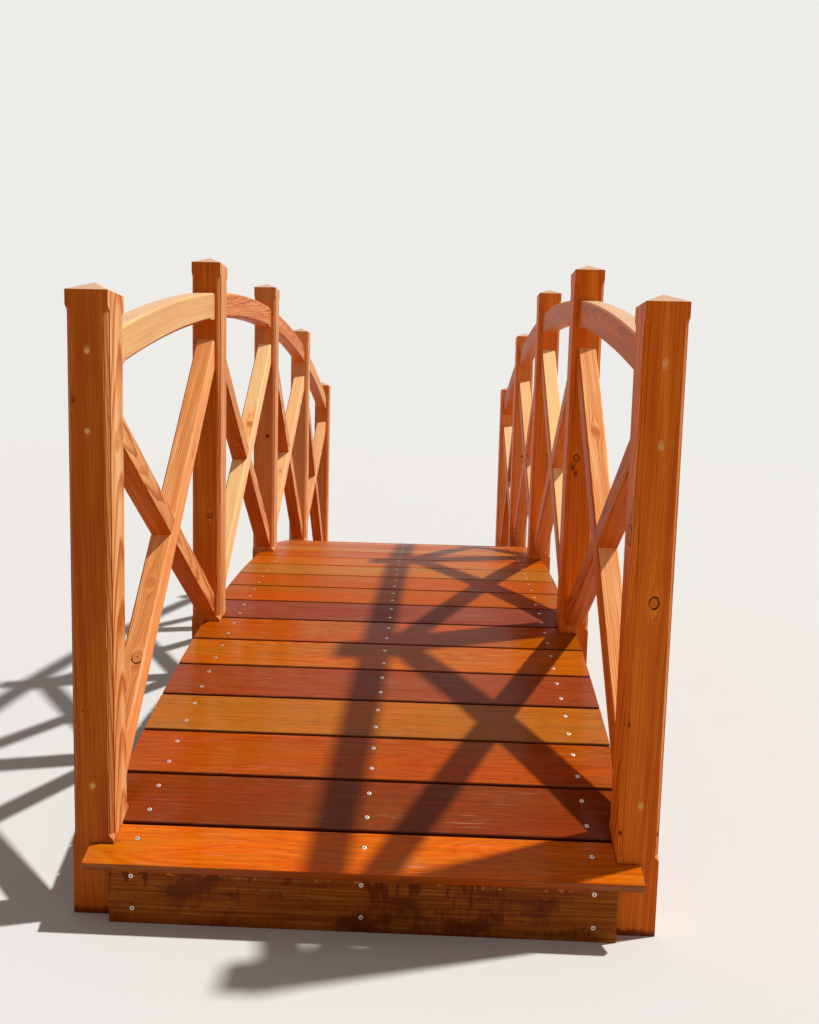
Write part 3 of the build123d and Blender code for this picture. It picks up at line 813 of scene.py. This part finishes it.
def lathe(name, profile, sides):
    # rings of (radius, height) turned about Z, closed at both ends
    points, faces = [], []
    for radius, height in profile:
        for i in range(sides):
            angle = 2 * math.pi * i / sides
            points.append((radius * math.cos(angle), radius * math.sin(angle), height))
    for low in range(0, len(points) - sides, sides):
        high = low + sides
        for i in range(sides):
            j = (i + 1) % sides
            faces.append((low + i, high + i, high + j, low + j))
    faces.append(tuple(range(sides)))
    faces.append(tuple(reversed(range(len(points) - sides, len(points)))))
    mesh = bpy.data.meshes.new(name)
    mesh.from_pydata(points, [], faces)
    return newObject(name, mesh)


def newGeometryTree(name, sizes):
    # a tree with the named sizes as its inputs, addNode for it, and those inputs
    tree = bpy.data.node_groups.new(name, "GeometryNodeTree")
    tree.interface.new_socket("Geometry", in_out="OUTPUT", socket_type="NodeSocketGeometry")
    for size, value in sizes.items():
        kind = "NodeSocketInt" if isinstance(value, int) else "NodeSocketFloat"
        tree.interface.new_socket(size, in_out="INPUT", socket_type=kind)
    add = partial(addNode, tree)
    return tree, add, add("NodeGroupInput").outputs


def countOff(add, index, groupSize):
    # the number of the group that the index falls in, and its place in that group
    groups = add("Math", [index, groupSize], "DIVIDE")
    return add("Math", [groups], "FLOOR"), add("Math", [index, groupSize], "MODULO")


def fromMiddle(add, number, count):
    # 0, 1, 2 becomes -1, 0, 1
    start = add("Math", [count, -0.5, 0.5], "MULTIPLY_ADD")
    return add("Math", [number, start], "ADD")


def stray(add, size, reach):
    # a small step at random, another for each fixing
    back = [-way for way in reach]
    offset = add("FunctionNodeRandomValue", {
        "Min": back, "Max": reach, "Seed": size["Seed"]}, data_type="FLOAT_VECTOR")
    return add("VectorMath", [offset, size["Wander"]], "SCALE")


def placeOn(add, size, spots, shape, normal, material):
    # one copy of the shape at each spot, turned to face along the normal and spun at random
    upright = add("FunctionNodeAlignRotationToVector", {"Vector": normal}, axis="Z")
    spin = add("FunctionNodeRandomValue", {
        "Min": 0.0, "Max": fixings["spin"], "Seed": size["Seed"]}, data_type="FLOAT")
    spun = add("FunctionNodeAxisAngleToRotation", {"Axis": (0, 0, 1), "Angle": spin})
    turned = add("FunctionNodeRotateRotation", [upright, spun], rotation_space="LOCAL")
    source = add("GeometryNodeObjectInfo", {"Object": shape}).outputs["Geometry"]
    copies = add("GeometryNodeInstanceOnPoints", {"Points": spots, "Instance": source, "Rotation": turned})
    real = add("GeometryNodeRealizeInstances", [copies])
    add("NodeGroupOutput", [add("GeometryNodeSetMaterial", {"Geometry": real, "Material": material})])


def buildArchScrews(shape, material, sizes):
    # rows of screws across the deck: Rows along the arch, Lines across it, and Each in a row on a line
    tree, add, size = newGeometryTree("arch screws", sizes)
    perRow = add("Math", [size["Lines"], size["Each"]], "MULTIPLY")
    count = add("Math", [perRow, size["Rows"]], "MULTIPLY")
    row, inRow = countOff(add, add("GeometryNodeInputIndex"), perRow)
    line, one = countOff(add, inRow, size["Each"])

    x = add("Math", [fromMiddle(add, line, size["Lines"]), size["Line Spacing"]], "MULTIPLY")
    rowArc = add("Math", [row, size["Row Spacing"], size["First Row"]], "MULTIPLY_ADD")
    inPair = fromMiddle(add, one, size["Each"])
    arc = add("Math", [inPair, size["Pair Spacing"], rowArc], "MULTIPLY_ADD")
    off = add("SeparateXYZ", [stray(add, size, (1, 1, 0))]).outputs
    xOff = add("Math", [x, off["X"]], "ADD")
    arcOff = add("Math", [arc, off["Y"]], "ADD")

    angle = add("Math", [arcOff, size["Radius"]], "DIVIDE")
    outY = add("Math", [angle], "SINE")
    outZ = add("Math", [angle], "COSINE")
    outward = add("CombineXYZ", [0.0, outY, outZ])
    onArc = add("VectorMath", [outward, size["Radius"]], "SCALE")
    centre = add("CombineXYZ", [xOff, 0.0, size["Centre Height"]])
    spot = add("VectorMath", [onArc, centre], "ADD")
    spots = add("GeometryNodePoints", {"Count": count, "Position": spot})
    placeOn(add, size, spots, shape, outward, material)
    return tree


def buildFaceFixings(shape, material, sizes):
    # columns of fixings on the two upright end faces, each column with up to three heights
    tree, add, size = newGeometryTree("face fixings", sizes)
    perEnd = add("Math", [size["Columns"], size["Heights"]], "MULTIPLY")
    count = add("Math", [perEnd, 2.0], "MULTIPLY")
    end, inEnd = countOff(add, add("GeometryNodeInputIndex"), perEnd)
    column, level = countOff(add, inEnd, size["Heights"])
    height = add("GeometryNodeIndexSwitch", {"Index": level}, data_type="FLOAT")
    height.index_switch_items.new()
    for number in (1, 2, 3):
        tree.links.new(size[f"Height {number}"], height.inputs[number])

    inColumn = fromMiddle(add, column, size["Columns"])
    x = add("Math", [inColumn, size["Column Spacing"]], "MULTIPLY")
    outY = add("Math", [end, 2.0, -1.0], "MULTIPLY_ADD")
    y = add("Math", [outY, size["Face Distance"]], "MULTIPLY")
    onFace = add("CombineXYZ", [x, y, height])
    spot = add("VectorMath", [onFace, stray(add, size, (1, 0, 1))], "ADD")
    spots = add("GeometryNodePoints", {"Count": count, "Position": spot})
    placeOn(add, size, spots, shape, add("CombineXYZ", [0.0, outY]), material)
    return tree


def grow(name, build, shape, material, sizes):
    # runs a tree on an empty mesh, its inputs set by identifier, and keeps the result as a plain mesh
    tree = build(shape, material, sizes)
    piece = newObject(name, bpy.data.meshes.new(name))
    modifier = piece.modifiers.new("fixings", "NODES")
    modifier.node_group = tree
    for socket in tree.interface.items_tree:
        if socket.in_out == "INPUT":
            modifier[socket.identifier] = sizes[socket.name]
    evaluated = piece.evaluated_get(bpy.context.evaluated_depsgraph_get())
    mesh = bpy.data.meshes.new_from_object(evaluated)
    piece.modifiers.remove(modifier)
    piece.data = mesh
    mesh.name = name
    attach(piece, "root")


def speckled(add, scale, tone, speckTone, markTone):
    # where markPoints has marked the shape, and a colour with specks all over and the marks in their own
    mark = add("Attribute", attribute_name="recess").outputs["Fac"]
    specks = add("TexNoise", {"Vector": add("TexCoord").outputs["Object"], "Scale": scale, "Detail": 2.0})
    plain = add("Mix", [specks, fixings[tone], fixings[speckTone]], data_type="RGBA")
    return mark, add("Mix", [mark, plain, fixings[markTone]], data_type="RGBA")


def screwSteel():
    # stainless steel, turned and tumbled: soft metal gleam, with painted shade in the drive recess
    material, add = newMaterial("tumbled stainless steel")
    recess, recessShaded = speckled(add, 300.0, "steel", "smudge", "recess")
    metal = add("MapRange", [recess, 0.0, 1.0, 0.8, 0.2])
    shader = add("BsdfPrincipled", {"Base Color": recessShaded, "Metallic": metal, "Roughness": 0.45})
    add("OutputMaterial", {"Surface": shader})
    return material


def plugWood():
    # beech dowel sawn across and sanded flush: pale end grain with a thin dark glue line round it
    material, add = newMaterial("sanded beech dowel")
    ringed = speckled(add, 500.0, "plug", "plugSpeck", "plugRing")[1]
    shader = add("BsdfPrincipled", {"Base Color": ringed, "Roughness": 0.5, "IOR": 1.48})
    add("OutputMaterial", {"Surface": shader})
    return material


def markPoints(shape, test):
    # a value on each point that the material reads, so that it follows every copy; the test is on the
    # point's distance from the shape's middle
    layer = shape.data.attributes.new("recess", "FLOAT", "POINT")
    for value, point in zip(layer.data, shape.data.vertices):
        value.value = 1.0 if test(math.hypot(point.co.x, point.co.y)) else 0.0


def screwHead():
    head, recess = fixings["headRadius"], fixings["recessRadius"]
    proud, sink = fixings["proud"], fixings["sink"]
    shape = lathe("screw head", [
        (recess * 0.4, -sink), (recess * 0.8, -sink), (recess, proud * 0.8), (head * 0.8, proud),
        (head, proud * 0.4), (head * 0.9, -sink)], fixings["screwSides"])
    markPoints(shape, lambda reach: reach < recess * 0.9)
    return shape


def plugEnd():
    radius, proud = fixings["plugRadius"], fixings["plugProud"]
    shape = lathe("plug", [
        (radius * 0.3, proud), (radius * 0.78, proud * 0.9), (radius * 0.86, proud * 0.7),
        (radius, proud * 0.3), (radius, -fixings["sink"])], fixings["plugSides"])
    markPoints(shape, lambda reach: reach > radius * 0.82)
    return shape


def heightSizes(heights):
    return {f"Height {number}": height for number, height in enumerate(heights, 1)}


def buildFixings():
    screw, plug = screwHead(), plugEnd()
    steel, dowel = screwSteel(), plugWood()
    pitch = bridge["boardPitch"]
    boards = bridge["boardsPerBay"] * bridge["bays"]
    archSizes = {
        "Rows": boards, "Row Spacing": pitch, "First Row": (1 - boards) / 2 * pitch,
        "Lines": screws["lines"], "Line Spacing": screws["lineSpacing"],
        "Each": 2, "Pair Spacing": screws["pairSpacing"], "Wander": fixings["wander"],
        "Radius": bridge["deckRadius"], "Centre Height": deckCentre, "Seed": 3}
    nosingSizes = archSizes | {
        "Rows": 2, "Row Spacing": 2 * nosingArc, "First Row": -nosingArc, "Each": 1, "Seed": 5}
    grow("deck_screws", buildArchScrews, screw, steel, archSizes)
    grow("nosing_screws", buildArchScrews, screw, steel, nosingSizes)
    faceSizes = {
        "Columns": screws["lines"], "Column Spacing": screws["lineSpacing"], "Heights": 2,
        **heightSizes(fixings["fasciaHeights"]), "Face Distance": fixings["fasciaFront"],
        "Wander": fixings["wander"], "Seed": 8}
    plugSizes = faceSizes | {
        "Columns": 2, "Column Spacing": 2 * bridge["rowOffset"], "Heights": 3,
        **heightSizes(endPost["plugHeights"]), "Face Distance": fixings["postFront"], "Seed": 9}
    grow("fascia_screws", buildFaceFixings, screw, steel, faceSizes)
    grow("post_plugs", buildFaceFixings, plug, dowel, plugSizes)
    for shape in (screw, plug):
        bpy.data.objects.remove(shape)


buildFixings()
print("screws and plugs")


# Camera: where the photograph was taken from, fitted to the corners of the bridge
view = {
    "place": Vector((129.3, -3524.2, 1084.0)) * mm,
    "yaw": -0.02755,
    "pitch": -0.0994,
    "roll": 0.02544,
    "focal": 818.57,              # pixels
    "imageHeight": 1024,
    "sensor": 36,                 # millimetres on the long side
}


def placeCamera():
    data = bpy.data.cameras.new("camera")
    data.sensor_width = view["sensor"]
    data.lens = view["focal"] / view["imageHeight"] * view["sensor"]
    camera = newObject("camera", data)
    yaw, pitch, roll = view["yaw"], view["pitch"], view["roll"]
    forward = Vector((math.sin(yaw) * math.cos(pitch), math.cos(yaw) * math.cos(pitch), math.sin(pitch)))
    level = Vector((math.cos(yaw), -math.sin(yaw), 0))
    upright = level.cross(forward)
    right = math.cos(roll) * level + math.sin(roll) * upright
    up = -math.sin(roll) * level + math.cos(roll) * upright
    turn = Matrix((right, up, -forward)).transposed().to_4x4()
    camera.matrix_world = Matrix.Translation(view["place"]) @ turn
    scene.camera = camera


placeCamera()

# Studio: pale floor and surround, one large soft lamp high on the right and a little beyond, soft sky
studio = {
    "floor": "#D8D6D2",
    "floorDark": "#C0BBB2",       # what the floor throws back at the object
    "floorSize": 80,
    "lampSoftness": 1.8,          # degrees that the lamp fills
    "lampStrength": 3.7,
    "sky": 0.23,
    "surround": 0.855,
    "surroundTint": "#FFFDF9",    # so that the floor's far edge melts into it
}


def seenDirectly(add):
    # 1 for what the camera sees, also by reflection or through glass, and 0 for what only lights the rest
    rays = add("LightPath").outputs
    seen = add("Math", [rays["Is Camera Ray"], rays["Is Glossy Ray"]], "MAXIMUM")
    return add("Math", [seen, rays["Is Transmission Ray"]], "MAXIMUM")


def buildStudio():
    half = studio["floorSize"] / 2
    corners = [(-half, -half, 0), (half, -half, 0), (half, half, 0), (-half, half, 0)]
    mesh = bpy.data.meshes.new("floor")
    mesh.from_pydata(corners, [], [(0, 1, 2, 3)])
    newObject("floor", mesh)
    material, add = newMaterial("studio floor")
    paint = add("Mix", [seenDirectly(add), studio["floorDark"], studio["floor"]], data_type="RGBA")
    shader = add("BsdfPrincipled", {"Base Color": paint, "Roughness": 0.9, "Specular IOR Level": 0.2})
    add("OutputMaterial", {"Surface": shader})
    mesh.materials.append(material)

    data = bpy.data.lights.new("lamp", "SUN")
    data.angle = math.radians(studio["lampSoftness"])
    data.energy = studio["lampStrength"]
    lamp = newObject("lamp", data)
    lamp.rotation_euler = Vector(sunFrom).to_track_quat("Z", "Y").to_euler()

    world = bpy.data.worlds.new("studio")
    world.use_nodes = True
    world.node_tree.nodes.clear()
    add = partial(addNode, world.node_tree)
    strength = add("Mix", [seenDirectly(add), studio["sky"], studio["surround"]], data_type="FLOAT")
    sky = add("Background", {"Color": studio["surroundTint"], "Strength": strength})
    add("OutputWorld", {"Surface": sky})
    scene.world = world


buildStudio()
scene.view_settings.view_transform = "Standard"
print("camera, floor and lights")
